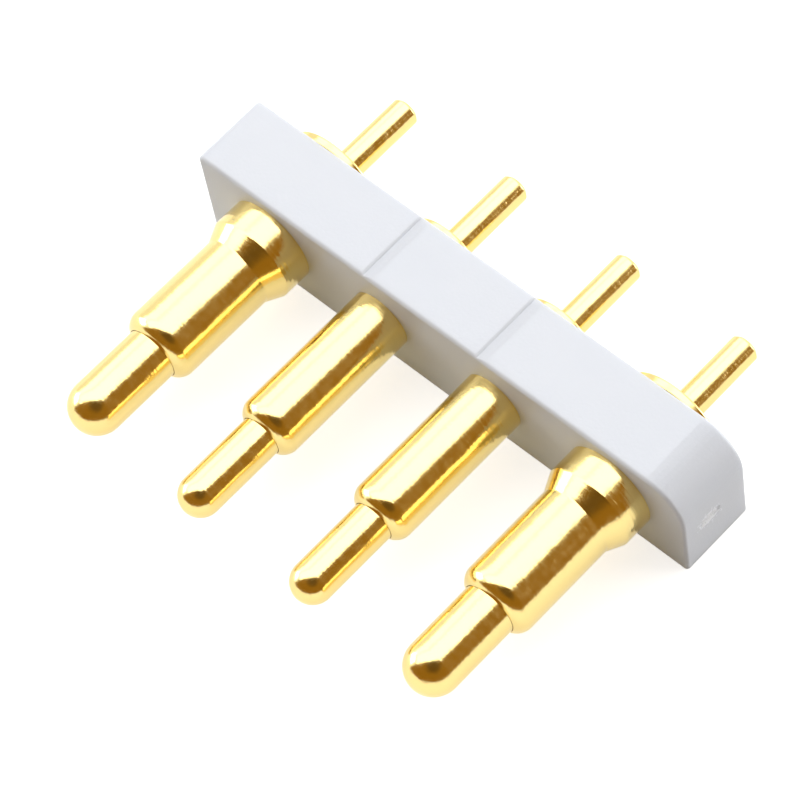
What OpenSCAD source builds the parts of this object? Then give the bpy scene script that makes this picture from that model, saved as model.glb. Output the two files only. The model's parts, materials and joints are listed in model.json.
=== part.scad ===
// Spring-contact (pogo pin) connector with four contacts in one row.
// Two heavy contacts stand at the ends of the row, with two light ones between them.
// Millimetres. X runs along the row, Y along the contacts (plungers point to -Y and
// solder tails to +Y) and Z is up. The origin is the middle of the housing's underside.

/* [Housing] */
// Length of the moulded bar, along the row
housing_length = 14; // [13.2:0.1:18]
// Depth of the bar, from its front face to its back face
housing_depth = 1.95; // [1.6:0.05:3]
// Height of the bar
housing_height = 2.7; // [2.64:0.02:4]
// Radius of the one large corner, which shows which end is which
key_radius = 1; // [0.5:0.05:1.2]
// Radius of the small rounding on the bar's other edges, apart from the sharp ones of its base
edge_radius = 0.12; // [0.04:0.01:0.2]
// Width of the two mould witness grooves across the top
witness_width = 0.08; // [0.04:0.01:0.2]
// Depth of the witness grooves
witness_depth = 0.04; // [0.02:0.01:0.1]
// Distance from a witness groove to the axis of the light contact beside it
witness_offset = 0.38; // [0.1:0.02:0.7]
// Length of the gate mark on the keyed end
gate_length = 0.64; // [0.4:0.02:0.8]
// Width of the gate mark
gate_width = 0.2; // [0.16:0.02:0.4]
// Depth of the gate mark's recess
gate_depth = 0.05; // [0.02:0.01:0.1]
// Distance from the housing's front face to the middle of the gate mark
gate_setback = 0.8; // [0.6:0.02:1]
// Height of the middle of the gate mark
gate_height = 1.2; // [0.6:0.05:1.4]

/* [Row] */
// Distance between the axes of neighbouring contacts
pitch = 3.3; // [2.54:0.02:3.6]

/* [Heavy contacts] */
// Diameter of the heavy plunger outside its barrel
heavy_plunger_d = 1.3; // [1.1:0.02:1.34]
// Outside diameter of the heavy barrel
heavy_barrel_d = 1.8; // [1.76:0.02:2]
// Diameter of the collar that is pressed into the housing
heavy_collar_d = 2.2; // [2.1:0.02:2.4]
// Length of the collar in front of the housing
heavy_collar_length = 0.69; // [0.3:0.01:1.2]
// Length of the cone from the collar down to the barrel
heavy_cone_length = 0.43; // [0.2:0.01:0.8]
// Diameter of the flange behind the housing
heavy_flange_d = 2.6; // [2.44:0.02:2.64]
// Thickness of that flange
heavy_flange_length = 0.2; // [0.1:0.01:0.4]
// Diameter of the wire of the heavy spring
heavy_wire_d = 0.18; // [0.1:0.01:0.2]
// Turns of the heavy spring, of which one at each end is closed
heavy_turns = 10; // [7:1:11]

/* [Light contacts] */
// Diameter of the light plunger outside its barrel
light_plunger_d = 1; // [0.8:0.02:1.04]
// Outside diameter of the light barrel, which is pressed straight into the housing
light_barrel_d = 1.5; // [1.46:0.02:1.8]
// Diameter of the flange behind the housing
light_flange_d = 2; // [1.86:0.02:2.4]
// Thickness of that flange
light_flange_length = 0.25; // [0.1:0.01:0.4]
// Diameter of the wire of the light spring
light_wire_d = 0.15; // [0.1:0.01:0.18]
// Turns of the light spring, of which one at each end is closed
light_turns = 11; // [7:1:13]

/* [Barrels] */
// Distance from the housing's front face to the mouth of the barrels
mouth_reach = 3.8; // [3.4:0.02:4.4]
// Outside radius of the rim that is curled in round the plunger
curl_radius = 0.37; // [0.3:0.01:0.6]
// Thickness of the barrel's wall
barrel_wall = 0.15; // [0.12:0.01:0.17]
// Thickness of the solid metal between the bore and the back of the flange
floor_thickness = 0.8; // [0.4:0.05:1.2]
// Diameter of the solder tails
tail_d = 0.7; // [0.4:0.02:0.9]
// Distance from the housing's back face to the end of the tails
tail_reach = 2.46; // [1:0.02:5]
// Chamfer round the end of the tails
tail_chamfer = 0.07; // [0.02:0.01:0.15]
// Radius of the fillet where a tail meets its flange
tail_fillet = 0.06; // [0.02:0.01:0.1]

/* [Plungers] */
// Distance from the housing's front face to the plunger tips at rest
tip_reach = 6.18; // [5.8:0.02:7]
// Length of the piston that slides in the bore
piston_length = 0.9; // [0.7:0.05:1.1]
// Length of the spigot that centres the spring behind the piston
spigot_length = 0.3; // [0.1:0.05:0.5]

/* [Fits] */
// Radial gap between a plunger and the mouth of its barrel
mouth_clearance = 0.04; // [0.02:0.005:0.05]
// Radial gap between a piston and its bore
piston_clearance = 0.025; // [0.015:0.005:0.04]
// Radial gap between a spring and the bore round it, and between the spigot and the spring
spring_clearance = 0.06; // [0.03:0.01:0.08]
// Gap left where one piece rests against another
seat_gap = 0.02; // [0.01:0.005:0.04]

/* [Hidden] */
$fn = 96;

// Finishes
PLASTIC = [0.91, 0.92, 0.94];
GOLD = [0.93, 0.74, 0.30];
STEEL = [0.72, 0.73, 0.75];

// The contacts are numbered from the square end; the first and the last are heavy
CONTACTS = 4;
function is_heavy(i) = i == 1 || i == CONTACTS;
function contact_x(i) = (i - (CONTACTS + 1) / 2) * pitch;

// Fineness of a spring, whose round wire is a hexagon swept along the coil
WIRE_SIDES = 6;
STEPS_PER_TURN = 14;
// Rise of a closed turn, in wire diameters, so that the wires there just clear
CLOSED_RISE = 1.08;
// How far a cutting shape runs past the face that it opens
CUT = 0.5;

// Radii of a contact
function plunger_r(i) = (is_heavy(i) ? heavy_plunger_d : light_plunger_d) / 2;
function barrel_r(i) = (is_heavy(i) ? heavy_barrel_d : light_barrel_d) / 2;
function seat_r(i) = (is_heavy(i) ? heavy_collar_d : light_barrel_d) / 2;
function flange_r(i) = (is_heavy(i) ? heavy_flange_d : light_flange_d) / 2;
function bore_r(i) = barrel_r(i) - barrel_wall;
function mouth_r(i) = plunger_r(i) + mouth_clearance;
function piston_r(i) = bore_r(i) - piston_clearance;

// Stations along a contact, measured forwards from the housing's front face
back_z = -housing_depth;
tail_end_z = back_z - tail_reach;
function flange_z(i) = back_z - (is_heavy(i) ? heavy_flange_length : light_flange_length);
function floor_z(i) = flange_z(i) + floor_thickness;

// The curled rim is an arc round a circle inside the wall, run on to the barrel's mouth
function curl_centre_r(i) = barrel_r(i) - curl_radius;
function arc_rise(radius, offset) = sqrt(pow(radius, 2) - pow(offset, 2));
function curl_z(i) = mouth_reach - arc_rise(curl_radius, mouth_r(i) - curl_centre_r(i));

// The edge of the piston's shoulder stops against the inside of the curled rim
function shoulder_z(i) =
    curl_z(i) - seat_gap
    + arc_rise(curl_radius - barrel_wall, piston_r(i) - curl_centre_r(i));
function piston_back_z(i) = shoulder_z(i) - piston_length;

// Springs, seated between the floor of the bore and the back of the piston
function wire_d(i) = is_heavy(i) ? heavy_wire_d : light_wire_d;
function turns(i) = is_heavy(i) ? heavy_turns : light_turns;
function coil_r(i) = bore_r(i) - spring_clearance - wire_d(i) / 2;
function spigot_r(i) = coil_r(i) - wire_d(i) / 2 - spring_clearance;
function closed_rise(i) = CLOSED_RISE * wire_d(i);
function coil_rise(i) = piston_back_z(i) - floor_z(i) - 2 * seat_gap - wire_d(i);
function open_rise(i) = (coil_rise(i) - 2 * closed_rise(i)) / (turns(i) - 2);
function wire_z(i, turn) =
    turn < 1 ? turn * closed_rise(i)
    : turn < turns(i) - 1 ? closed_rise(i) + (turn - 1) * open_rise(i)
    : coil_rise(i) - (turns(i) - turn) * closed_rise(i);

// Sets a shape drawn forwards along +Z from the housing's front face into contact i's place
module in_row(i) {
    translate([contact_x(i), -housing_depth / 2, housing_height / 2])
        rotate([90, 0, 0])
            children();
}

// A rectangle with rounded corners, standing in the first quadrant. It can stand on square ones
module rounded_rect(w, h, r, square_base = false) {
    base = square_base ? 0 : r;
    translate([r, 0])
        square([w - 2 * r, h]);
    translate([0, base])
        square([w, h - base - r]);
    for (x = [r, w - r], y = square_base ? [h - r] : [r, h - r])
        translate([x, y])
            circle(r = r);
}

// A block with every edge rounded but those of its base: three prisms, one along each axis,
// cross one another
module rounded_block(l, d, h, r) {
    intersection() {
        translate([0, d, 0])
            rotate([90, 0, 0])
                linear_extrude(d)
                    rounded_rect(l, h, r, square_base = true);
        linear_extrude(h)
            rounded_rect(l, d, r);
        rotate([90, 0, 90])
            linear_extrude(l)
                rounded_rect(d, h, r, square_base = true);
    }
}

// The upper corner of the keyed end, where the large radius takes the place of the edges
module key_space() {
    translate([housing_length - key_radius, -CUT, housing_height - key_radius])
        cube([key_radius + CUT, housing_depth + 2 * CUT, key_radius + CUT]);
}

// A disc whose rims carry the small rounding, with its axis through the key's centre
module key_disc() {
    translate([housing_length - key_radius, housing_depth, housing_height - key_radius])
        rotate([90, 0, 0])
            rotate_extrude()
                intersection() {
                    translate([-key_radius, 0])
                        rounded_rect(2 * key_radius, housing_depth, edge_radius);
                    square([key_radius, housing_depth]);
                }
}

// The solid bar, square at the first contact's end and keyed at the last one's
module bar() {
    translate([-housing_length / 2, -housing_depth / 2, 0]) {
        difference() {
            rounded_block(housing_length, housing_depth, housing_height, edge_radius);
            key_space();
        }
        intersection() {
            key_disc();
            key_space();
        }
    }
}

// The shallow groove that two mould inserts leave where they meet across the top
module witness_groove() {
    rotate([90, 0, 0])
        linear_extrude(housing_depth + 2 * CUT, center = true)
            polygon([[-witness_width / 2, 0], [0, -witness_depth], [witness_width / 2, 0],
                     [witness_width / 2, CUT], [-witness_width / 2, CUT]]);
}

// A slab with round ends that stands across the X axis, its length along Y
module gate_slab(l, w, h) {
    rotate([0, 90, 0])
        linear_extrude(h, center = true) {
            square([w, l - w], center = true);
            for (side = [-1, 1])
                translate([0, side * (l - w) / 2])
                    circle(d = w);
        }
}

// The recess where the gate broke away, with the low stub that was left standing in it
module gate_mark() {
    difference() {
        gate_slab(gate_length, gate_width, 2 * gate_depth);
        translate([-gate_depth, 0, 0])
            gate_slab(gate_length / 2, gate_width / 2, gate_depth);
    }
}

module housing() {
    color(PLASTIC)
        difference() {
            bar();
            for (i = [1:CONTACTS])
                in_row(i)
                    translate([0, 0, back_z - CUT])
                        cylinder(r = seat_r(i), h = housing_depth + 2 * CUT);
            for (i = [2:CONTACTS - 1])
                translate([contact_x(i) - witness_offset, 0, housing_height])
                    witness_groove();
            translate([housing_length / 2, gate_setback - housing_depth / 2, gate_height])
                gate_mark();
        }
}

// Half section of the flange, the seat in the housing and the straight barrel
module barrel_outline(i) {
    front_z = is_heavy(i) ? heavy_collar_length : 0;
    cone_z = front_z + (is_heavy(i) ? heavy_cone_length : 0);
    polygon([[0, flange_z(i)], [flange_r(i), flange_z(i)], [flange_r(i), back_z],
             [seat_r(i), back_z], [seat_r(i), front_z], [barrel_r(i), cone_z],
             [barrel_r(i), curl_z(i)], [0, curl_z(i)]]);
}

// Half section of the rim curled in at the mouth, one wall thick
module curl_outline(i) {
    intersection() {
        translate([curl_centre_r(i), curl_z(i)])
            difference() {
                circle(r = curl_radius);
                circle(r = curl_radius - barrel_wall);
            }
        translate([mouth_r(i), curl_z(i)])
            square([barrel_r(i), curl_radius]);
    }
}

// Half section of the solder tail, filleted at the flange and chamfered at its end
module tail_outline(i) {
    r = tail_d / 2;
    polygon([[0, flange_z(i)], [0, tail_end_z], [r - tail_chamfer, tail_end_z],
             [r, tail_end_z + tail_chamfer], [r, flange_z(i)]]);
    difference() {
        translate([0, flange_z(i) - tail_fillet])
            square([r + tail_fillet, tail_fillet]);
        translate([r + tail_fillet, flange_z(i) - tail_fillet])
            circle(r = tail_fillet);
    }
}

// A barrel turned in one piece with its collar, flange and tail, its rim curled in
module barrel(i) {
    color(GOLD)
        in_row(i)
            rotate_extrude() {
                difference() {
                    barrel_outline(i);
                    translate([0, floor_z(i)])
                        square([bore_r(i), mouth_reach - floor_z(i)]);
                }
                curl_outline(i);
                tail_outline(i);
            }
}

// A plunger turned in one piece: a round-nosed pin, a piston and a spigot for the spring
module plunger(i) {
    pin_r = plunger_r(i);
    nose_z = tip_reach - pin_r;
    chamfer = piston_r(i) - pin_r;
    color(GOLD)
        in_row(i)
            rotate_extrude() {
                intersection() {
                    translate([0, nose_z])
                        circle(r = pin_r);
                    translate([0, nose_z])
                        square([pin_r, pin_r]);
                }
                polygon([[0, nose_z], [0, piston_back_z(i) - spigot_length],
                         [spigot_r(i), piston_back_z(i) - spigot_length],
                         [spigot_r(i), piston_back_z(i)],
                         [piston_r(i), piston_back_z(i)],
                         [piston_r(i), shoulder_z(i)],
                         [pin_r, shoulder_z(i) + chamfer],
                         [pin_r, nose_z]]);
            }
}

// A compression spring with closed ends: rings of points follow the coil and are joined up
module spring(i) {
    steps = turns(i) * STEPS_PER_TURN;
    wire_r = wire_d(i) / 2;
    points = [
        for (step = [0:steps], side = [0:WIRE_SIDES - 1])
            let (
                turn = step / STEPS_PER_TURN,
                round_wire = 360 * side / WIRE_SIDES,
                r = coil_r(i) + wire_r * cos(round_wire)
            )
            [r * cos(360 * turn), r * sin(360 * turn), wire_z(i, turn) + wire_r * sin(round_wire)]
    ];
    skin = [
        for (step = [0:steps - 1], side = [0:WIRE_SIDES - 1])
            let (
                next = (side + 1) % WIRE_SIDES,
                here = step * WIRE_SIDES,
                ahead = here + WIRE_SIDES
            )
            [here + side, here + next, ahead + next, ahead + side]
    ];
    first_end = [for (side = [WIRE_SIDES - 1:-1:0]) side];
    last_end = [for (side = [0:WIRE_SIDES - 1]) steps * WIRE_SIDES + side];
    color(STEEL)
        in_row(i)
            translate([0, 0, floor_z(i) + seat_gap + wire_r])
                polyhedron(points, concat(skin, [first_end, last_end]));
}

housing();
barrel(1);  // barrel_1
barrel(2);  // barrel_2
barrel(3);  // barrel_3
barrel(4);  // barrel_4
plunger(1);  // plunger_1
plunger(2);  // plunger_2
plunger(3);  // plunger_3
plunger(4);  // plunger_4
spring(1);  // spring_1
spring(2);  // spring_2
spring(3);  // spring_3
spring(4);  // spring_4
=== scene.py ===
"""Looks of a spring-contact (pogo pin) connector.

A light moulded bar holds a row of gold-plated contacts: heavy ones at both ends and light ones
between them. Each contact is a turned barrel with a solder tail, a plunger and a hidden spring.
Lengths are in metres. X runs along the row, the plungers point to -Y and Z is up.
"""

import json
import logging
import math
from collections.abc import Sequence
from dataclasses import dataclass
from enum import Enum
from typing import Any

import bpy
import numpy as np
from bpy.types import Material, Node, NodeSocket, NodeTree, Object
from mathutils import Matrix, Vector
from mathutils.geometry import tessellate_polygon


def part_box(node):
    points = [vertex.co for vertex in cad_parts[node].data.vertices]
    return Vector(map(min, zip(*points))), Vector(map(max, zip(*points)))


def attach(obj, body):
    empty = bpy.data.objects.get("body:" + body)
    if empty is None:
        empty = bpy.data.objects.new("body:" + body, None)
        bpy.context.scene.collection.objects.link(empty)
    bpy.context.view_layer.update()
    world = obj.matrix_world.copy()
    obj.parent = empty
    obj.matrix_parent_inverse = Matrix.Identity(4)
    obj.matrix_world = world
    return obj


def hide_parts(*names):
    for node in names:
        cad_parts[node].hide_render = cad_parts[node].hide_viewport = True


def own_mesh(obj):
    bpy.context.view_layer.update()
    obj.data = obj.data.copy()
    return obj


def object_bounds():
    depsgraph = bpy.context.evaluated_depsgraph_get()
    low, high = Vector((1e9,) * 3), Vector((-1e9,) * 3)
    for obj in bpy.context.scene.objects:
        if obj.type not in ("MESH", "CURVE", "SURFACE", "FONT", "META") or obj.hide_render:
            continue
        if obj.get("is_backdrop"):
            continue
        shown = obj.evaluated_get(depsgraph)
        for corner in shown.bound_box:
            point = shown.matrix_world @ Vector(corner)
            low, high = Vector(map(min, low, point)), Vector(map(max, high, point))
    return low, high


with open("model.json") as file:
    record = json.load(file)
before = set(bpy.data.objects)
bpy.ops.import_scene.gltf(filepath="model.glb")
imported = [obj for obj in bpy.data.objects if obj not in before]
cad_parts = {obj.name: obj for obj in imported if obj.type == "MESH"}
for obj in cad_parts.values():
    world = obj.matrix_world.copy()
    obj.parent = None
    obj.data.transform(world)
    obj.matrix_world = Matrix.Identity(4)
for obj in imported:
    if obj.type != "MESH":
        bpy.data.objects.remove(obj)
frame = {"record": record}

Pair = tuple[float, float]
Triple = tuple[float, float, float]

LOG = logging.getLogger("connector")
MM = 0.001
CONTACT_COUNT = 4
TURN_SIDES = 144
ARC_STEP = math.radians(8)
WHITE = (1.0, 1.0, 1.0, 1.0)
SQUARE = ((-1, -1), (1, -1), (1, 1), (-1, 1))


# ---------------- colours and shader nodes


def linear(hex_colour: str) -> tuple[float, float, float, float]:
    """Turns an sRGB hex colour into the linear colour that the shaders work in.

    Args:
        hex_colour: six hex digits after a hash.

    Returns:
        Linear red, green and blue, and an alpha of one.
    """
    srgb = [int(hex_colour[i : i + 2], 16) / 255 for i in (1, 3, 5)]
    red, green, blue = (c / 12.92 if c <= 0.04045 else ((c + 0.055) / 1.055) ** 2.4 for c in srgb)
    return red, green, blue, 1.0


def add_node(
    tree: NodeTree, kind: str, inputs: dict[str | int, Any] | None = None, **settings: Any
) -> Node:
    """Adds one shader node with its settings and links.

    Args:
        tree: the node tree that gets the node.
        kind: the node's Blender type, without its ShaderNode prefix.
        inputs: a value or an output socket for each input, by name or number.
        settings: the node's own properties.

    Returns:
        The new node.
    """
    node = tree.nodes.new("ShaderNode" + kind)
    for name, value in settings.items():
        setattr(node, name, value)
    for key, value in (inputs or {}).items():
        if isinstance(value, NodeSocket):
            tree.links.new(value, node.inputs[key])
        else:
            node.inputs[key].default_value = value
    return node


def new_tree(name: str) -> tuple[Material, NodeTree]:
    """Makes a material with no nodes in it.

    Args:
        name: the material's name.

    Returns:
        The material and its empty node tree.
    """
    material = bpy.data.materials.new(name)
    material.use_nodes = True
    material.node_tree.nodes.clear()
    return material, material.node_tree


def add_math(
    tree: NodeTree, operation: str, *values: Any, kind: str = "Math", **settings: Any
) -> NodeSocket:
    """Adds one step of arithmetic.

    Args:
        tree: the node tree that gets the node.
        operation: what the step does.
        values: the numbers, vectors or sockets that it takes.
        kind: Math for numbers, or VectorMath.
        settings: the node's other properties.

    Returns:
        The socket with the result.
    """
    node = add_node(tree, kind, dict(enumerate(values)), operation=operation, **settings)
    return node.outputs[1 if operation in ("LENGTH", "DOT_PRODUCT") else 0]


def add_range(
    tree: NodeTree,
    value: NodeSocket,
    source: Pair = (0, 1),
    target: Pair = (0, 1),
    **settings: Any,
) -> NodeSocket:
    """Carries one range of values over to another, and clamps what lies beyond.

    Args:
        tree: the node tree that gets the node.
        value: the socket with the value.
        source: the first range.
        target: the second range.
        settings: the node's properties.

    Returns:
        The socket with the carried value.
    """
    limits = zip(("From Min", "From Max", "To Min", "To Max"), (*source, *target))
    return add_node(tree, "MapRange", {"Value": value, **dict(limits)}, **settings).outputs[0]


def add_bump(
    tree: NodeTree, pattern: NodeSocket, depth: float, under: NodeSocket | None = None
) -> NodeSocket:
    """Adds a relief to a surface.

    Args:
        tree: the node tree that gets the node.
        pattern: the relief's height, from zero to one.
        depth: the depth of a height of one, in metres.
        under: the normal of another relief that this one lies on.

    Returns:
        The socket with the normal.
    """
    inputs = {"Height": pattern, "Strength": 1.0, "Distance": depth}
    if under is not None:
        inputs["Normal"] = under
    return add_node(tree, "Bump", inputs).outputs[0]


def add_mix(tree: NodeTree, share: NodeSocket, first: Any, second: Any) -> NodeSocket:
    """Mixes two colours.

    Args:
        tree: the node tree that gets the node.
        share: the second colour's share.
        first: the first colour, or its socket.
        second: the second colour, or its socket.

    Returns:
        The socket with the mixed colour.
    """
    inputs = {"Factor": share, "A": first, "B": second}
    return add_node(tree, "Mix", inputs, data_type="RGBA").outputs["Result"]


def add_surface(
    tree: NodeTree, colour: Any, roughness: Any, normal: NodeSocket, **inputs: Any
) -> None:
    """Adds a material's principled shader and its output.

    Args:
        tree: the material's node tree.
        colour: the base colour, or its socket.
        roughness: the roughness, or its socket.
        normal: the socket with the relief's normal.
        inputs: the shader's other inputs, with underscores for the spaces in their names.
    """
    named = {name.replace("_", " "): value for name, value in inputs.items()}
    named.update({"Base Color": colour, "Roughness": roughness, "Normal": normal})
    shader = add_node(tree, "BsdfPrincipled", named)
    add_node(tree, "OutputMaterial", {"Surface": shader.outputs[0]})


# ---------------- finishes


@dataclass(frozen=True)
class GoldPlate:
    """Hard gold plated over turned copper alloy.

    It is a warm mirror. The lathe leaves rings round the piece, and barrel tumbling a soft
    ripple. The rings follow V of the piece's own UV map, its distance along the profile in mm.
    """

    colour: str = "#FAE297"
    roughness: float = 0.16
    ring_pitch_mm: float = 0.07
    ring_depth: float = 0.002 * MM
    ripple_size: float = 0.16 * MM
    ripple_depth: float = 0.0034 * MM
    ripple_range: Pair = (0.3, 0.7)
    haze_shares: Pair = (0.8, 1.25)

    def material(self) -> Material:
        """Builds the gold material, whose roughness drifts with the ripple."""
        made, tree = new_tree("gold_plated_turned_copper_alloy")
        place = add_node(tree, "TexCoord")
        along = add_node(tree, "SeparateXYZ", {0: place.outputs["UV"]})
        rings = add_node(
            tree,
            "TexNoise",
            {"W": along.outputs["Y"], "Scale": 1 / self.ring_pitch_mm, "Detail": 2.0},
            noise_dimensions="1D",
        )
        ringed = add_bump(tree, rings.outputs[0], self.ring_depth)
        ripple = add_node(
            tree, "TexNoise", {"Vector": place.outputs["Object"], "Scale": 1 / self.ripple_size}
        ).outputs[0]
        rippled = add_bump(tree, ripple, self.ripple_depth, under=ringed)
        haze = add_range(
            tree, ripple, self.ripple_range, tuple(k * self.roughness for k in self.haze_shares)
        )
        add_surface(tree, linear(self.colour), haze, rippled, Metallic=1.0)
        return made


@dataclass(frozen=True)
class MouldedPolymer:
    """Injection-moulded liquid-crystal polymer, torn where the gate broke away and painted near
    white there: partly stress whitening, partly a painted highlight on the rough torn face.

    It is a light cool grey, satin and a little translucent at its edges. The mould's
    spark-eroded face prints a fine grain, drawn coarse enough here to show, and the colour
    drifts faintly where the melt flowed.
    """

    torn_at: Triple
    colour: str = "#DBDFE6"
    flow_colour: str = "#D6DBE3"
    roughness: float = 0.42
    refraction: float = 1.55
    grain_size: float = 0.07 * MM
    grain_depth: float = 0.003 * MM
    flow_size: float = 1.6 * MM
    flow_swirl: float = 0.6
    light_share: float = 0.6
    light_depth: float = 0.22 * MM
    torn_size: Triple = (0.2 * MM, 0.36 * MM, 0.24 * MM)
    # Painted highlight: the torn patch's near-white colour is partly stress whitening and partly
    # the light that its rough face catches.
    whitened_and_highlight_colour: str = "#F2F6FF"
    torn_noise: float = 3.2
    torn_edge: Pair = (-0.75, -1.0)

    def material(self) -> Material:
        """Builds the polymer material."""
        made, tree = new_tree("injection_moulded_liquid_crystal_polymer")
        place = add_node(tree, "TexCoord").outputs["Object"]
        flow = add_node(
            tree,
            "TexNoise",
            {"Vector": place, "Scale": 1 / self.flow_size, "Distortion": self.flow_swirl},
        )
        tint = add_node(tree, "ValToRGB", {"Fac": flow.outputs[0]})
        for element, colour in zip(tint.color_ramp.elements, (self.colour, self.flow_colour)):
            element.color = linear(colour)
        # The torn patch is painted near white: stress whitening, and partly a painted highlight.
        torn = self._torn_and_highlit(tree, place)
        whitened_and_highlit = add_mix(tree, torn, tint.outputs["Color"], linear(self.whitened_and_highlight_colour))
        grain = add_node(
            tree, "TexNoise", {"Vector": place, "Scale": 1 / self.grain_size, "Detail": 3.0}
        )
        grained = add_bump(tree, grain.outputs[0], self.grain_depth)
        add_surface(
            tree,
            whitened_and_highlit,
            self.roughness,
            grained,
            IOR=self.refraction,
            Subsurface_Weight=self.light_share,
            Subsurface_Radius=(1.0, 1.0, 1.0),
            Subsurface_Scale=self.light_depth,
        )
        return made

    def _torn_and_highlit(self, tree: NodeTree, place: NodeSocket) -> NodeSocket:
        """One where the gate tore away and the plastic is painted near white, and zero elsewhere:
        partly stress whitening, partly a painted highlight.

        The place is an ellipsoid. Noise is taken from the distance to its middle, and what is
        left rises from zero to one between the two limits of torn_edge. So the edge is ragged
        and flecks lie round it.

        Args:
            tree: the node tree that gets the nodes.
            place: the Object coordinates.

        Returns:
            The socket with that value.
        """
        offset = add_math(tree, "SUBTRACT", place, self.torn_at, kind="VectorMath")
        scaled = add_math(tree, "DIVIDE", offset, self.torn_size, kind="VectorMath")
        distance = add_math(tree, "LENGTH", scaled, kind="VectorMath")
        flecks = add_node(tree, "TexNoise", {"Vector": place, "Scale": 1 / self.grain_size})
        ragged = add_math(tree, "MULTIPLY_ADD", flecks.outputs[0], -self.torn_noise, distance)
        return add_range(tree, ragged, self.torn_edge)


@dataclass(frozen=True)
class SpringWire:
    """Drawn stainless spring wire: grey and satin, with fine lines from the drawing die."""

    colour: str = "#C4C3C0"
    roughness: float = 0.32
    line_width_mm: float = 0.03
    line_depth: float = 0.0006 * MM

    def material(self) -> Material:
        """Builds the steel material."""
        made, tree = new_tree("drawn_stainless_spring_wire")
        place = add_node(tree, "TexCoord")
        across = add_node(tree, "SeparateXYZ", {0: place.outputs["UV"]})
        lines = add_node(
            tree,
            "TexNoise",
            {"W": across.outputs["X"], "Scale": 1 / self.line_width_mm},
            noise_dimensions="1D",
        )
        lined = add_bump(tree, lines.outputs[0], self.line_depth)
        add_surface(tree, linear(self.colour), self.roughness, lined, Metallic=1.0)
        return made


# ---------------- outlines and surfaces


@dataclass(frozen=True)
class Corner:
    """A corner of an outline, with the radius of the arc that rounds it."""

    u: float
    v: float
    radius: float = 0.0


def arc(centre: Sequence[float], radius: float, start: float, end: float) -> np.ndarray:
    """Points on an arc: the centre plus the radius times (cos a, sin a).

    Args:
        centre: the arc's centre.
        radius: the arc's radius.
        start: the first angle, in radians.
        end: the last angle.

    Returns:
        The points in order, no more than ARC_STEP apart.
    """
    steps = max(2, math.ceil(abs(end - start) / ARC_STEP))
    angles = np.linspace(start, end, steps + 1)
    return np.array(centre) + radius * np.stack([np.cos(angles), np.sin(angles)], axis=1)


def rounded(corners: Sequence[Corner], closed: bool = False) -> np.ndarray:
    """Follows an outline whose corners are rounded by arcs that touch both their sides.

    An arc begins radius * tan(turn / 2) before its corner and ends as far beyond it.

    Args:
        corners: the outline's corners in order.
        closed: whether the last corner runs on to the first one.

    Returns:
        The outline's points in order.
    """
    points = np.array([[c.u, c.v] for c in corners])
    parts = []
    for i, corner in enumerate(corners):
        here = points[i]
        if corner.radius == 0 or (not closed and i in (0, len(corners) - 1)):
            parts.append(here[None])
            continue
        before = points[i - 1] - here
        after = points[(i + 1) % len(points)] - here
        before /= np.linalg.norm(before)
        after /= np.linalg.norm(after)
        half = math.acos(float(np.clip(before @ after, -1, 1))) / 2
        middle = before + after
        centre = here + middle / np.linalg.norm(middle) * corner.radius / math.sin(half)
        first = here + before * corner.radius / math.tan(half) - centre
        last = here + after * corner.radius / math.tan(half) - centre
        start = math.atan2(first[1], first[0])
        sweep = math.atan2(first[0] * last[1] - first[1] * last[0], float(first @ last))
        parts.append(arc(centre, corner.radius, start, start + sweep))
    return np.concatenate(parts)


def braced(path: np.ndarray, reach: float, closed: bool = False) -> np.ndarray:
    """Adds a point near both ends of each straight run that is long, so that it shades flat.

    A run is long if it is over four times as long as the new points are from its ends.

    Args:
        path: the outline's points.
        reach: how far from a run's ends the new points lie.
        closed: whether the last point runs on to the first one.

    Returns:
        The outline with the new points in it.
    """
    ends = np.roll(path, -1, axis=0) if closed else path[1:]
    starts = path if closed else path[:-1]
    runs = ends - starts
    lengths = np.linalg.norm(runs, axis=1)
    out = []
    for start, run, length in zip(starts, runs, lengths):
        out.append(start)
        if length > 4 * reach:
            out.append(start + run * reach / length)
            out.append(start + run * (1 - reach / length))
    if not closed:
        out.append(path[-1])
    return np.array(out)


def grid_faces(rows: int, columns: int, closed: bool = True) -> list[list[int]]:
    """Quads between neighbouring points of a grid that is stored row by row.

    Args:
        rows: how many rows the grid has.
        columns: how many points a row has.
        closed: whether each row's last point joins its first one.

    Returns:
        Four point numbers for each quad.
    """
    row = np.arange(rows - 1)[:, None] * columns
    column = np.arange(columns if closed else columns - 1)[None]
    across = (column + 1) % columns
    corners = [row + column, row + across, row + columns + across, row + columns + column]
    return np.stack(corners, axis=-1).reshape(-1, 4).tolist()


def new_object(name: str, points: np.ndarray, faces: Sequence[Sequence[int]]) -> Object:
    """Makes an object at the origin from points in place and faces.

    Args:
        name: the object's name.
        points: an array of three columns.
        faces: the point numbers round each face.

    Returns:
        The new object, in the scene.
    """
    mesh = bpy.data.meshes.new(name)
    mesh.from_pydata(points.tolist(), [], [list(map(int, face)) for face in faces])
    mesh.update()
    made = bpy.data.objects.new(name, mesh)
    bpy.context.scene.collection.objects.link(made)
    return made


def smooth(made: Object, sharpest: float = 30.0) -> None:
    """Shades a mesh smooth, apart from edges where it turns by more than an angle.

    Args:
        made: the object.
        sharpest: that angle, in degrees.
    """
    made.data.shade_smooth()
    made.data.set_sharp_from_angle(angle=math.radians(sharpest))


def map_points(made: Object, name: str, uv: np.ndarray) -> None:
    """Gives a piece a UV map from the coordinates of its points.

    Args:
        made: the piece.
        name: the map's name.
        uv: U and V of each point.
    """
    corner = np.empty(len(made.data.loops), dtype=np.int32)
    made.data.loops.foreach_get("vertex_index", corner)
    layer = made.data.uv_layers.new(name=name)
    layer.data.foreach_set("uv", uv[corner].astype(np.float32).ravel())


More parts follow.
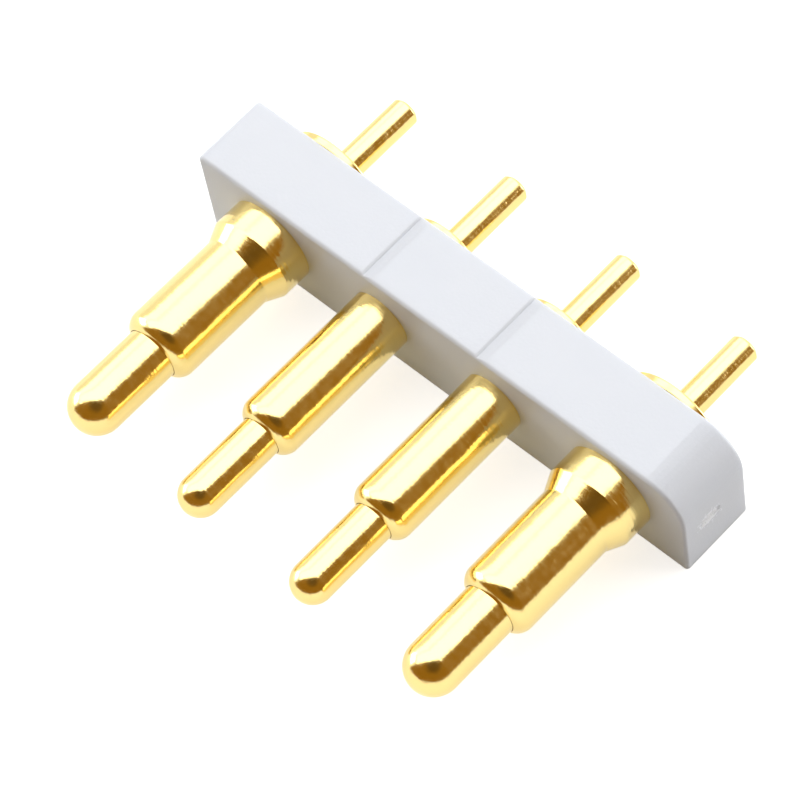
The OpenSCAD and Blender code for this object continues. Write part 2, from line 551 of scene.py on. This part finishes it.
def dress(made: Object, material: Material, node: str, body: str) -> None:
    """Finishes a piece: its material, the CAD node that it stands for and its body.

    Args:
        made: the piece.
        material: its material.
        node: the CAD node that it replaces.
        body: the CAD body that it rides on.
    """
    made.data.materials.append(material)
    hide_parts(node)
    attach(made, body)
    LOG.info("%s replaces %s on %s, %d faces", made.name, node, body, len(made.data.polygons))


@dataclass(frozen=True)
class Axis:
    """The axis of a turned piece: it runs along -Y from the housing's front face."""

    x: float
    front_y: float
    z: float

    def around(
        self, radius: np.ndarray | float, station: np.ndarray | float, angle: np.ndarray
    ) -> np.ndarray:
        """Points round the axis, at (x + r cos a, front_y - s, z + r sin a).

        Args:
            radius: their radius r.
            station: how far along the axis they lie, s.
            angle: their angle a, in radians.

        Returns:
            An array whose last axis is X, Y and Z.
        """
        x, z = self.x + radius * np.cos(angle), self.z + radius * np.sin(angle)
        return np.stack(np.broadcast_arrays(x, self.front_y - station, z), axis=-1)

    def turned(self, name: str, outline: np.ndarray) -> Object:
        """Turns a half section about this axis.

        The section starts and ends on the axis, where its ring is one point. The UV map holds
        the angle in turns, and the distance along the section in millimetres.

        Args:
            name: the piece's name.
            outline: the section's (radius, station) points, from the tail end round to the front.

        Returns:
            The closed turned piece.
        """
        sides = TURN_SIDES
        radius, station = outline[1:-1].T
        angle = np.arange(sides) * 2 * math.pi / sides
        rings = self.around(radius[:, None], station[:, None], angle).reshape(-1, 3)
        poles = np.array([[self.x, self.front_y - s, self.z] for s in outline[[0, -1], 1]])
        first_pole, last_pole = len(rings), len(rings) + 1
        here = np.arange(sides)
        ahead = (here + 1) % sides
        last_ring = len(rings) - sides
        caps = [
            np.stack([ahead, here, np.full(sides, first_pole)], axis=1),
            np.stack([last_ring + here, last_ring + ahead, np.full(sides, last_pole)], axis=1),
        ]
        faces = grid_faces(len(radius), sides) + caps[0].tolist() + caps[1].tolist()
        made = new_object(name, np.concatenate([rings, poles]), faces)
        runs = np.linalg.norm(np.diff(outline, axis=0), axis=1)
        travelled = np.concatenate([[0], np.cumsum(runs)])
        number = np.arange(len(rings) + 2)
        source = np.minimum(number // sides + 1, len(outline) - 1)
        source[first_pole] = 0
        uv = np.stack([number % sides / sides, travelled[source] / MM], axis=1)
        map_points(made, "turning", uv)
        smooth(made)
        return made


# ---------------- the contacts


@dataclass(frozen=True)
class ContactSizes:
    """The turned sizes that set one grade of contact apart, in metres."""

    plunger_r: float
    barrel_r: float
    seat_r: float
    collar: float
    cone: float
    flange_r: float
    flange: float
    wire_r: float
    turns: int


class Grade(Enum):
    """The two grades of contact in the row."""

    HEAVY = ContactSizes(
        plunger_r=0.65 * MM,
        barrel_r=0.9 * MM,
        seat_r=1.1 * MM,
        collar=0.69 * MM,
        cone=0.43 * MM,
        flange_r=1.3 * MM,
        flange=0.2 * MM,
        wire_r=0.09 * MM,
        turns=10,
    )
    LIGHT = ContactSizes(
        plunger_r=0.5 * MM,
        barrel_r=0.75 * MM,
        seat_r=0.75 * MM,
        collar=0.0,
        cone=0.0,
        flange_r=1.0 * MM,
        flange=0.25 * MM,
        wire_r=0.075 * MM,
        turns=11,
    )


@dataclass
class Contact:
    """One spring contact: its turned barrel, its plunger and the spring inside."""

    number: int
    grade: Grade
    axis: Axis
    depth: float
    mouth: float
    tip: float
    tail_end: float
    wall: float = 0.15 * MM
    curl_r: float = 0.37 * MM
    mouth_gap: float = 0.01 * MM
    piston_gap: float = 0.025 * MM
    seat_gap: float = 0.02 * MM
    floor: float = 0.8 * MM
    tail_r: float = 0.35 * MM
    tail_chamfer: float = 0.07 * MM
    tail_fillet: float = 0.06 * MM
    piston: float = 0.9 * MM
    spigot: float = 0.3 * MM
    spigot_gap: float = 0.06 * MM
    edge: float = 0.025 * MM
    brace: float = 0.012 * MM
    travel: float = 1.5 * MM
    coil_sides: int = 14
    coil_steps: int = 40
    closed_rise: float = 1.08

    @property
    def sizes(self) -> ContactSizes:
        """The sizes of this contact's grade."""
        return self.grade.value

    @property
    def bore_r(self) -> float:
        """Radius of the blind bore."""
        return self.sizes.barrel_r - self.wall

    @property
    def mouth_r(self) -> float:
        """Radius of the opening that the curled rim leaves."""
        return self.sizes.plunger_r + self.mouth_gap

    @property
    def piston_r(self) -> float:
        """Radius of the plunger's piston."""
        return self.bore_r - self.piston_gap

    @property
    def curl_centre(self) -> Pair:
        """Centre of the curled rim's section, as radius and station."""
        radius = self.sizes.barrel_r - self.curl_r
        return radius, self.mouth - math.sqrt(self.curl_r**2 - (self.mouth_r - radius) ** 2)

    @property
    def bore_floor(self) -> float:
        """Station of the bore's floor."""
        return -self.depth - self.sizes.flange + self.floor

    @property
    def shoulder(self) -> float:
        """Station of the piston's shoulder, at rest against the curled rim."""
        radius, station = self.curl_centre
        rise = math.sqrt((self.curl_r - self.wall) ** 2 - (self.piston_r - radius) ** 2)
        return station + rise - self.seat_gap

    @property
    def piston_back(self) -> float:
        """Station of the piston's back face, at rest."""
        return self.shoulder - self.piston

    def barrel_outline(self) -> np.ndarray:
        """Half section of the barrel.

        It runs from the tail's end over the flange, the seat, the cone and the outer arc of
        the curled rim, and back through the inner arc and the blind bore to the bore's floor.
        """
        size, edge = self.sizes, self.edge
        flange_back = -self.depth - size.flange
        centre_r, centre_s = self.curl_centre
        body = [
            Corner(0, self.tail_end),
            Corner(self.tail_r - self.tail_chamfer, self.tail_end, self.tail_chamfer / 2),
            Corner(self.tail_r, self.tail_end + self.tail_chamfer, self.tail_chamfer / 2),
            Corner(self.tail_r, flange_back, self.tail_fillet),
            Corner(size.flange_r, flange_back, 2 * edge),
            Corner(size.flange_r, -self.depth, edge),
            Corner(size.seat_r, -self.depth, edge),
        ]
        if self.grade is Grade.HEAVY:
            body += [
                Corner(size.seat_r, size.collar, 4 * edge),
                Corner(size.barrel_r, size.collar + size.cone, 4 * edge),
            ]
        body.append(Corner(size.barrel_r, centre_s))
        outer_end = math.acos((self.mouth_r - centre_r) / self.curl_r)
        inner_end = math.acos((self.mouth_r - centre_r) / (self.curl_r - self.wall))
        bore = [
            Corner(self.bore_r, centre_s),
            Corner(self.bore_r, self.bore_floor, edge),
            Corner(0, self.bore_floor),
        ]
        return np.concatenate(
            [
                braced(rounded(body), self.brace)[:-1],
                arc((centre_r, centre_s), self.curl_r, 0, outer_end),
                arc((centre_r, centre_s), self.curl_r - self.wall, inner_end, 0)[:-1],
                braced(rounded(bore), self.brace),
            ]
        )

    def plunger_outline(self) -> np.ndarray:
        """Half section of the plunger: spigot, piston, shoulder, pin and round nose."""
        pin_r, edge = self.sizes.plunger_r, self.edge
        nose = self.tip - pin_r
        spigot_r = self.bore_r - 2 * self.spigot_gap - 2 * self.sizes.wire_r
        spigot_end = self.piston_back - self.spigot
        body = [
            Corner(0, spigot_end),
            Corner(spigot_r, spigot_end, edge),
            Corner(spigot_r, self.piston_back, edge),
            Corner(self.piston_r, self.piston_back, edge),
            Corner(self.piston_r, self.shoulder),
            Corner(pin_r, self.shoulder + self.piston_r - pin_r),
            Corner(pin_r, nose),
        ]
        return np.concatenate(
            [braced(rounded(body), self.brace)[:-1], arc((0, nose), pin_r, 0, math.pi / 2)]
        )

    def coil(self) -> np.ndarray:
        """The spring's wire as a grid of points, one row for each station of the coil.

        The wire's middle goes round at (R cos a, R sin a) and climbs slowly over the closed
        turn at each end, by closed_rise wire diameters, and steadily between them. Each row is
        a circle round it, in the plane of the axis and the radius.

        Returns:
            An array of stations by points by three coordinates.
        """
        wire_r = self.sizes.wire_r
        middle_r = self.bore_r - self.spigot_gap - wire_r
        low = self.bore_floor + self.seat_gap + wire_r
        rise = self.piston_back - self.seat_gap - wire_r - low
        slow = self.closed_rise * 2 * wire_r
        turns = self.sizes.turns
        turn = np.linspace(0, turns, turns * self.coil_steps + 1)
        climbed = np.interp(turn, [0, 1, turns - 1, turns], [0, slow, rise - slow, rise])
        around = np.arange(self.coil_sides) * 2 * math.pi / self.coil_sides
        radius = middle_r + wire_r * np.cos(around)[None]
        station = low + climbed[:, None] - wire_r * np.sin(around)[None]
        angle = 2 * math.pi * turn[:, None]
        return self.axis.around(radius, station, angle)

    def build(self, gold: Material, steel: Material) -> None:
        """Makes, dresses and places this contact's pieces.

        Args:
            gold: the plating of the barrel and the plunger.
            steel: the spring's wire.
        """
        number = self.number
        carrier = "connector"
        barrel = self.axis.turned(f"gold_barrel_{number}", self.barrel_outline())
        dress(barrel, gold, f"barrel_{number}", carrier)
        plunger = self.axis.turned(f"gold_plunger_{number}", self.plunger_outline())
        dress(plunger, gold, f"plunger_{number}", f"plunger_{number}")
        self._build_spring(steel, carrier)

    def _build_spring(self, steel: Material, carrier: str) -> None:
        """Makes the spring at its rest length, on the body that holds the barrel.

        Its UV map holds the distance round the wire in millimetres, and the share of its coil.

        Args:
            steel: the spring's wire.
            carrier: the body that holds the barrel.
        """
        grid = self.coil()
        stations, sides = grid.shape[:2]
        ends = [list(range(sides))[::-1], list(range((stations - 1) * sides, stations * sides))]
        faces = grid_faces(stations, sides) + ends
        spring = new_object(f"spring_coil_{self.number}", grid.reshape(-1, 3), faces)
        number = np.arange(stations * sides)
        girth = 2 * math.pi * self.sizes.wire_r / MM
        uv = np.stack([number % sides / sides * girth, number // sides / stations], axis=1)
        map_points(spring, "drawing", uv)
        smooth(spring, sharpest=60)
        dress(spring, steel, f"spring_{self.number}", carrier)
        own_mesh(spring)


# ---------------- the bar


@dataclass(frozen=True)
class GateMark:
    """The rough oval recess where the moulding's gate broke away from the keyed end.

    Both waves are in radians per metre along Y and along Z.
    """

    y: float
    z: float
    length: float = 0.64 * MM
    width: float = 0.2 * MM
    depth: float = 0.03 * MM
    wall: float = 0.035 * MM
    stub: float = 0.72
    roughness: float = 0.014 * MM
    first_wave: Pair = (62.0 / MM, 26.0 / MM)
    second_wave: Pair = (27.5 / MM, -67.5 / MM)

    def oval(self, y: np.ndarray, z: np.ndarray, share: float) -> np.ndarray:
        """One inside an oval and zero outside it, with a sloping wall between them.

        The oval has round ends. The distance from its middle line is hypot(past its ends,
        beside the line), and the height falls as a smooth step in that distance.

        Args:
            y: the points' depth coordinates.
            z: their heights.
            share: the oval's size as a share of the mark's.

        Returns:
            The height at each point, from zero to one.
        """
        half = share * self.width / 2
        past = np.maximum(np.abs(y - self.y) - share * (self.length - self.width) / 2, 0)
        inside = (half + self.wall / 2 - np.hypot(past, z - self.z)) / self.wall
        step = np.clip(inside, 0, 1)
        return step * step * (3 - 2 * step)

    def relief(self, y: np.ndarray, z: np.ndarray) -> np.ndarray:
        """How far the end face sinks at each point: a recess with a low, torn stub in it.

        The torn surface is sin p * sin q, where p and q are the phases of the two waves, which
        run at odd angles to each other.

        Args:
            y: the points' depth coordinates.
            z: their heights.

        Returns:
            The depth at each point, in metres.
        """
        recess = self.oval(y, z, 1.0)
        stub = self.oval(y, z, self.stub)
        first, second = (wave[0] * y + wave[1] * z for wave in (self.first_wave, self.second_wave))
        torn = np.sin(first) * np.sin(second)
        return recess * self.depth - stub * (self.depth - self.roughness * (1 + torn))


@dataclass
class MouldedBar:
    """The moulded bar, with a hole for each contact.

    Its edges are rounded, one upper corner with a large radius as a key, and its base is
    sharp where the mould parted. The braces say how far from an edge the points lie that keep
    a side or a face flat, and the stops count the points over a form.
    """

    low: Vector
    high: Vector
    contacts: Sequence[Contact]
    key_r: float = 1.0 * MM
    edge_r: float = 0.09 * MM
    corner_r: float = 0.13 * MM
    groove_offset: float = 0.38 * MM
    groove_wall: float = 0.07 * MM
    groove_slope: float = 0.24 * MM
    groove_depth: float = 0.03 * MM
    gate_setback: float = 0.8 * MM
    gate_height: float = 1.2 * MM
    side_brace: float = 0.02 * MM
    face_brace: float = 0.005 * MM
    rim_stops: int = 10
    gate_stops_y: int = 56
    gate_stops_z: int = 25
    slope_stops: int = 9
    wall_stops: int = 4

    @property
    def gate(self) -> GateMark:
        """The gate mark on the keyed end."""
        return GateMark(y=self.low.y + self.gate_setback, z=self.low.z + self.gate_height)

    @property
    def grooves(self) -> list[float]:
        """Where along the row the witness grooves cross the top."""
        return [c.axis.x - self.groove_offset for c in self.contacts if c.grade is Grade.LIGHT]

    def outline(self, inset: float) -> np.ndarray:
        """The bar's outline in X and Z, anticlockwise, with close points at the gate mark.

        All of it but the sharp-edged base is moved inward by an inset.

        Args:
            inset: how far the outline is moved inward.

        Returns:
            The outline's points in order.
        """
        gate = self.gate
        left, right = self.low.x + inset, self.high.x - inset
        bottom, top = self.low.z, self.high.z - inset
        corner_r = self.corner_r - inset
        reach = (gate.width + 2 * gate.wall) / 2
        heights = np.linspace(gate.z - reach, gate.z + reach, self.gate_stops_z)
        slope = np.linspace(self.groove_slope, 0, self.slope_stops)
        wall = np.linspace(0, -self.groove_wall, self.wall_stops)[1:]
        notches = [
            Corner(x + step, top)
            for x in sorted(self.grooves, reverse=True)
            for step in (*slope, *wall)
        ]
        corners = [
            Corner(left, bottom),
            Corner(right, bottom),
            *(Corner(right, z) for z in heights),
            Corner(right, top, self.key_r - inset),
            *notches,
            Corner(left, top, corner_r),
        ]
        return braced(rounded(corners, closed=True), self.side_brace, closed=True)

    def sections(self) -> tuple[np.ndarray, np.ndarray]:
        """Depth and inset of each outline, from the front face to the back face.

        Over the rounded rims the inset is r (1 - cos a) and the depth r (1 - sin a) from the
        face, as a goes from a quarter turn to zero. At the gate mark the outlines lie close
        together.

        Returns:
            The depths and the insets.
        """
        gate = self.gate
        turn = np.radians(np.linspace(90, 0, self.rim_stops))
        rim_depth = self.edge_r * (1 - np.sin(turn))
        rim_inset = self.edge_r * (1 - np.cos(turn))
        reach = gate.length / 2 + 2 * gate.wall
        plain = self.edge_r + self.side_brace
        front, back = self.low.y, self.high.y
        close = np.linspace(gate.y - reach, gate.y + reach, self.gate_stops_y)
        middle = np.concatenate([[front + plain], close, [back - plain]])
        depths = [[front], front + rim_depth, middle, (back - rim_depth)[::-1], [back]]
        face = [self.edge_r + self.face_brace]
        insets = [face, rim_inset, np.zeros(len(middle)), rim_inset[::-1], face]
        return np.concatenate(depths), np.concatenate(insets)

    def surface(self) -> np.ndarray:
        """The bar's outer surface as a grid of points, one row for each outline.

        The top sinks into each groove by depth * (1 - reach)^2, where reach goes from zero at
        the groove's floor to one over its short wall on one side and its long slope on the
        other. The keyed end sinks by the gate mark's relief.

        Returns:
            An array of outlines by points by three coordinates.
        """
        depths, insets = self.sections()
        outlines = np.array([self.outline(inset) for inset in insets])
        x, z = outlines[..., 0], outlines[..., 1]
        y = np.broadcast_to(depths[:, None], x.shape)
        beside = [x - groove for groove in self.grooves]
        reach = [np.maximum(b / self.groove_slope, -b / self.groove_wall) for b in beside]
        notch = self.groove_depth * np.clip(1 - np.min(reach, axis=0), 0, 1) ** 2
        upper = z > (self.low.z + self.high.z) / 2
        z = np.where(upper, np.minimum(z, self.high.z - notch), z)
        keyed_end = x > self.high.x - self.edge_r / 2
        x = np.where(keyed_end, x - self.gate.relief(y, z), x)
        return np.stack([x, y, z], axis=-1)

    def hole(self, contact: Contact, y: float) -> np.ndarray:
        """The rim of a contact's hole on one face, at the radius of the contact's seat.

        Args:
            contact: the contact pressed into the hole.
            y: the face's depth coordinate.

        Returns:
            The rim's points, anticlockwise in X and Z.
        """
        angle = np.arange(TURN_SIDES) * 2 * math.pi / TURN_SIDES
        return contact.axis.around(contact.sizes.seat_r, self.low.y - y, angle)

    def build(self, plastic: Material) -> None:
        """Makes, dresses and places the bar.

        Args:
            plastic: the moulding's material.
        """
        grid = self.surface()
        rows, columns = grid.shape[:2]
        outside = grid.reshape(-1, 3)
        rims = [self.hole(c, y) for y in (self.low.y, self.high.y) for c in self.contacts]
        points = np.concatenate([outside, *rims])
        skin = [quad[::-1] for quad in grid_faces(rows, columns)]
        loops = len(outside) + np.arange(len(rims) * TURN_SIDES).reshape(-1, TURN_SIDES)
        front, back = loops[: len(self.contacts)], loops[len(self.contacts) :]
        faces = skin + self._cap(points, np.arange(columns), front, facing=-1)
        faces += self._cap(points, (rows - 1) * columns + np.arange(columns), back, facing=1)
        for near, far in zip(front, back):
            faces += np.stack([near, np.roll(near, -1), np.roll(far, -1), far], axis=1).tolist()
        bar = new_object("moulded_bar", points, faces)
        smooth(bar)
        dress(bar, plastic, "housing", "connector")

    @staticmethod
    def _cap(
        points: np.ndarray, rim: np.ndarray, holes: Sequence[np.ndarray], facing: int
    ) -> list[list[int]]:
        """Fills a face of the bar round its holes with triangles.

        Args:
            points: all the bar's points.
            rim: the point numbers round the face.
            holes: the point numbers round each hole.
            facing: 1 if the face looks along +Y, or -1.

        Returns:
            The triangles, facing outward.
        """
        loops = [rim, *holes]
        numbers = np.concatenate(loops)
        flat = [[Vector((*points[n][[0, 2]], 0.0)) / MM for n in loop] for loop in loops]
        faces = []
        for triangle in tessellate_polygon(flat):
            a, b, c = (numbers[k] for k in triangle)
            first, second = points[b] - points[a], points[c] - points[a]
            turned = (first[2] * second[0] - first[0] * second[2]) * facing > 0
            faces.append([a, b, c] if turned else [a, c, b])
        return faces


# ---------------- the studio


def bearing(azimuth: float, elevation: float) -> Vector:
    """The direction towards a viewer. The level one at azimuth + 90 is to the viewer's right.

    Args:
        azimuth: where the viewer stands, in degrees from -Y towards +X.
        elevation: how far above the level, in degrees.

    Returns:
        The direction, one long.
    """
    turn, climb = math.radians(azimuth), math.radians(elevation)
    return Vector(
        (math.sin(turn) * math.cos(climb), -math.cos(turn) * math.cos(climb), math.sin(climb))
    )


@dataclass(frozen=True)
class Viewpoint:
    """Where the camera stands.

    Angles are in degrees, the lens and its sensor in millimetres and other lengths in metres.
    """

    azimuth: float = 52.91
    elevation: float = 58.21
    roll: float = -11.895
    distance: float = 87.776 * MM
    lens: float = 184.32
    sensor: float = 36.0
    nearest: float = 0.001
    furthest: float = 10.0
    aim: Triple = (0.006 * MM, -0.334 * MM, -0.128 * MM)

    def place(self, middle: Vector) -> None:
        """Puts the scene's camera round a point.

        The camera looks back along its bearing from the target. Its right hand is the level
        direction, rolled about the line of sight.

        Args:
            middle: the middle of the object's box.
        """
        level, toward = bearing(self.azimuth + 90, 0), bearing(self.azimuth, self.elevation)
        roll = math.radians(self.roll)
        right = math.cos(roll) * level + math.sin(roll) * toward.cross(level)
        matrix = Matrix((right, toward.cross(right), toward)).transposed().to_4x4()
        matrix.translation = middle + Vector(self.aim) + toward * self.distance
        lens = bpy.data.cameras.new("viewpoint")
        lens.lens, lens.sensor_width = self.lens, self.sensor
        lens.clip_start, lens.clip_end = self.nearest, self.furthest
        camera = bpy.data.objects.new("viewpoint", lens)
        camera.matrix_world = matrix
        bpy.context.scene.collection.objects.link(camera)
        bpy.context.scene.camera = camera


@dataclass(frozen=True)
class Softbox:
    """A flat glowing panel that the camera doesn't see.

    Its middle, half its width and half its height are vectors across the line of sight, away
    from the camera and up, in shares of the studio's height. It glows white with the strength
    light, or matt for matt surfaces where that is given.
    """

    name: str
    middle: Triple
    wide: Triple
    tall: Triple
    light: float
    matt: float | None = None


@dataclass(frozen=True)
class Studio:
    """A pale table under large softboxes, with a dark flag on the camera's side.

    The softboxes lie across the line of sight. Their front edge stands a little forward of
    overhead, and the flag fills what lies in front of it, so polished metal shows one crisp
    edge between light and dark along its length. Angles are in degrees and lengths in metres,
    but the places that end in _share are in shares of the height.
    """

    azimuth: float = 45.0
    height: float = 0.4
    floor_half: float = 0.8
    flag_r: float = 0.47
    flag_edge: float = 80.6
    flag_columns: int = 49
    flag_rows: int = 25
    flag_light: Triple = (0.29, 0.147, 0.017)
    flag_matt_light: float = 0.02
    spot_light: Triple = (0.13, 0.073, 0.014)
    spot_bearing: float = 53.0
    spot_height: float = 62.0
    spot_core: float = 10.0
    spot_reach: float = 35.0
    across_share: float = -0.4
    length_share: float = 1.1
    back_share: float = 0.55
    seam_share: float = 0.1
    lean_share: float = 1.25
    lean: float = 49.0
    lean_spread: float = 12.5
    overhead_light: float = 2.6
    seam_light: float = 2.0
    back_light: float = 2.5
    matt_light: float = 1.2
    side_light: float = 4.4
    rear_light: float = 5.5
    floor_colour: str = "#D4D4D4"
    floor_lift: float = 0.73
    mirror_share: float = 0.74
    sky: float = 1.0
    fill: float = 0.75

    @property
    def axes(self) -> np.ndarray:
        """Three directions as rows: across the line of sight, away from the camera and up."""
        across, away = bearing(self.azimuth + 90, 0), -bearing(self.azimuth, 0)
        return np.array([across, away, (0, 0, 1)])

    def build(self) -> None:
        """Sets up the world, the floor, the softboxes and the flag."""
        self._build_world()
        self._build_floor()
        self._build_softboxes()
        self._build_flag()

    @staticmethod
    def seen(tree: NodeTree, mirror_share: float = 1.0) -> NodeSocket:
        """How far a ray looks at something: one from the camera or through a clear material.

        From a mirror it is a share of one, and from a matt surface zero.

        Args:
            tree: the node tree that gets the nodes.
            mirror_share: that share.

        Returns:
            The socket with that value.
        """
        path = add_node(tree, "LightPath").outputs
        looked = add_math(
            tree, "MULTIPLY_ADD", path["Is Glossy Ray"], mirror_share, path["Is Camera Ray"]
        )
        return add_math(tree, "ADD", looked, path["Is Transmission Ray"], use_clamp=True)

    def _build_world(self) -> None:
        """White all round, and dimmer as a light on matt surfaces."""
        world = bpy.data.worlds.new("studio")
        world.use_nodes = True
        bpy.context.scene.world = world
        tree = world.node_tree
        tree.nodes.clear()
        strength = add_range(tree, self.seen(tree), target=(self.fill, self.sky))
        white = add_node(tree, "Background", {"Color": WHITE, "Strength": strength})
        add_node(tree, "OutputWorld", {"Surface": white.outputs[0]})

    def _build_floor(self) -> None:
        """A pale floor that keeps the object's shadow, lifted a little where it is seen."""
        material, tree = new_tree("pale_paper_floor")
        paper = add_node(tree, "BsdfDiffuse", {"Color": linear(self.floor_colour)})
        lift = add_range(tree, self.seen(tree, self.mirror_share), target=(0, self.floor_lift))
        glow = add_node(tree, "Emission", {"Color": WHITE, "Strength": lift})
        both = add_node(tree, "AddShader", {0: paper.outputs[0], 1: glow.outputs[0]})
        add_node(tree, "OutputMaterial", {"Surface": both.outputs[0]})
        corners = np.array([[a, b, 0] for a, b in SQUARE]) * self.floor_half
        floor = new_object("floor", corners, [range(4)])
        floor.data.materials.append(material)
        floor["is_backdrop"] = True

    def _glow(
        self, made: Object, light: Sequence[float], matt: float | None, flag: bool = False
    ) -> None:
        """Makes a stage object glow, and hides it from the camera.

        Where light reaches a matt surface by way of metal, a softbox keeps its matt strength
        and the flag its own glow. The flag also darkens towards its spot.

        Args:
            made: the stage object.
            light: its linear colour times its strength.
            matt: the neutral strength that matt surfaces get, or None if they get the same.
            flag: whether it is the flag.
        """
        material, tree = new_tree(made.name + "_glow")
        colour = (*light, 1.0)
        if flag:
            colour = self._spot(tree, colour)
        if matt is not None:
            path = add_node(tree, "LightPath").outputs
            share = path["Is Diffuse Ray"]
            if not flag:
                share = add_math(tree, "ADD", share, path["Diffuse Depth"], use_clamp=True)
            colour = add_mix(tree, share, colour, (matt, matt, matt, 1.0))
        glow = add_node(tree, "Emission", {"Color": colour, "Strength": 1.0})
        add_node(tree, "OutputMaterial", {"Surface": glow.outputs[0]})
        made.data.materials.append(material)
        made.visible_camera = False
        made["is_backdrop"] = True

    def _spot(self, tree: NodeTree, colour: Sequence[float]) -> NodeSocket:
        """Darkens the flag round one bearing, where the person at work stands.

        The share of dark is a smooth step in the cosine of the angle from that bearing.

        Args:
            tree: the node tree that gets the nodes.
            colour: the flag's colour outside the spot.

        Returns:
            The socket with the flag's colour.
        """
        toward = bearing(self.spot_bearing, self.spot_height)
        place = add_node(tree, "TexCoord").outputs["Object"]
        unit = add_math(tree, "NORMALIZE", place, kind="VectorMath")
        cosine = add_math(tree, "DOT_PRODUCT", unit, toward, kind="VectorMath")
        reach, core = (math.cos(math.radians(a)) for a in (self.spot_reach, self.spot_core))
        share = add_range(tree, cosine, (reach, core), interpolation_type="SMOOTHSTEP")
        return add_mix(tree, share, colour, (*self.spot_light, 1.0))

    def softboxes(self) -> list[Softbox]:
        """Lists the softboxes.

        One lies overhead from the flag's edge to back_share, with a seam behind it. One leans
        behind the object at lean_share, turned lean degrees from the upright and as tall as
        lean_spread degrees to each side. One stands low on the left and one on the right.

        Returns:
            The softboxes.
        """
        front = -1 / math.tan(math.radians(self.flag_edge))
        back, seam, reach = self.back_share, self.seam_share, self.lean_share
        lean = math.radians(self.lean)
        half = reach * math.tan(math.radians(self.lean_spread))
        wide, matt = (self.length_share, 0, 0), self.matt_light
        above, over = (self.across_share, (front + back) / 2, 1), (0, (back - front) / 2, 0)
        joint = (self.across_share, back + seam, 1)
        behind = (self.across_share, reach * math.sin(lean), reach * math.cos(lean))
        leaning = (0, half * math.cos(lean), -half * math.sin(lean))
        return [
            Softbox("overhead", above, wide, over, self.overhead_light, matt),
            Softbox("seam", joint, wide, (0, seam, 0), self.seam_light, matt),
            Softbox("behind", behind, wide, leaning, self.back_light, matt),
            Softbox("side", (-0.9, 0.35, 0.3), (0.0975, 0.25, 0), (0, 0, 0.22), self.side_light),
            Softbox("rear", (0.95, 0.1, 0.28), (-0.035, 0.3325, 0), (0, 0, 0.26), self.rear_light),
        ]

    def _build_softboxes(self) -> None:
        """Makes the softboxes."""
        for box in self.softboxes():
            shares = np.array([box.middle, box.wide, box.tall])
            middle, wide, tall = shares @ self.axes * self.height
            corners = np.array([middle + a * wide + b * tall for a, b in SQUARE])
            panel = new_object(f"softbox_{box.name}", corners, [range(4)])
            self._glow(panel, (box.light,) * 3, box.matt)

    def _build_flag(self) -> None:
        """The dark side of the studio: part of a sphere, from the floor up to the softbox.

        Its point is R (cos a * across + sin a * (sin b * up - cos b * away)), with a over half
        a turn and b from the floor to the flag's edge.
        """
        a = np.linspace(0, math.pi, self.flag_columns)[:, None]
        b = np.linspace(0, math.radians(self.flag_edge), self.flag_rows)[None]
        shares = np.broadcast_arrays(np.cos(a), -np.sin(a) * np.cos(b), np.sin(a) * np.sin(b))
        points = self.flag_r * np.stack(shares, axis=-1) @ self.axes
        faces = grid_faces(*points.shape[:2], closed=False)
        flag = new_object("flag", points.reshape(-1, 3), faces)
        self._glow(flag, self.flag_light, self.flag_matt_light, flag=True)


# ---------------- the scene


@dataclass
class Connector:
    """The whole connector, read from the frame: the bar and its row of contacts."""

    bar: MouldedBar

    @classmethod
    def from_frame(cls) -> "Connector":
        """Reads the bar's faces and the contacts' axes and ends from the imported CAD.

        A contact's grade is the one whose flange is nearest in size.
        """
        low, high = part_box("housing")
        mounts = {mount["name"]: mount for mount in frame["record"]["mounts"]}
        contacts = []
        for number in range(1, CONTACT_COUNT + 1):
            x, tip_y, z = mounts[f"tip_{number}"]["pos_m"]
            barrel_low, barrel_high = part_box(f"barrel_{number}")
            flange_r = (barrel_high.x - barrel_low.x) / 2
            grade = min(Grade, key=lambda g: abs(g.value.flange_r - flange_r))
            contacts.append(
                Contact(
                    number=number,
                    grade=grade,
                    axis=Axis(x=x, front_y=low.y, z=z),
                    depth=high.y - low.y,
                    mouth=low.y - barrel_low.y,
                    tip=low.y - tip_y,
                    tail_end=low.y - barrel_high.y,
                )
            )
        return cls(MouldedBar(low, high, contacts))

    def build(self) -> None:
        """Makes every piece of the connector."""
        gold, steel = GoldPlate().material(), SpringWire().material()
        bar = self.bar
        torn_at = (bar.high.x, bar.gate.y, bar.gate.z)
        bar.build(MouldedPolymer(torn_at).material())
        for contact in bar.contacts:
            contact.build(gold, steel)


def plain_box() -> list[list[float]]:
    """The lowest and the highest corner of what is shown, as lists of numbers."""
    return [list(corner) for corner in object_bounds()]


def main() -> None:
    """Dresses the connector, sets up the studio and places the camera round the middle of the CAD
    box.
    """
    logging.basicConfig(level=logging.INFO, format="%(message)s")
    cad_box = plain_box()
    middle = (Vector(cad_box[0]) + Vector(cad_box[1])) / 2
    Connector.from_frame().build()
    Studio().build()
    Viewpoint().place(middle)
    bpy.context.scene.view_settings.view_transform = "Standard"


if __name__ == "__main__":
    main()
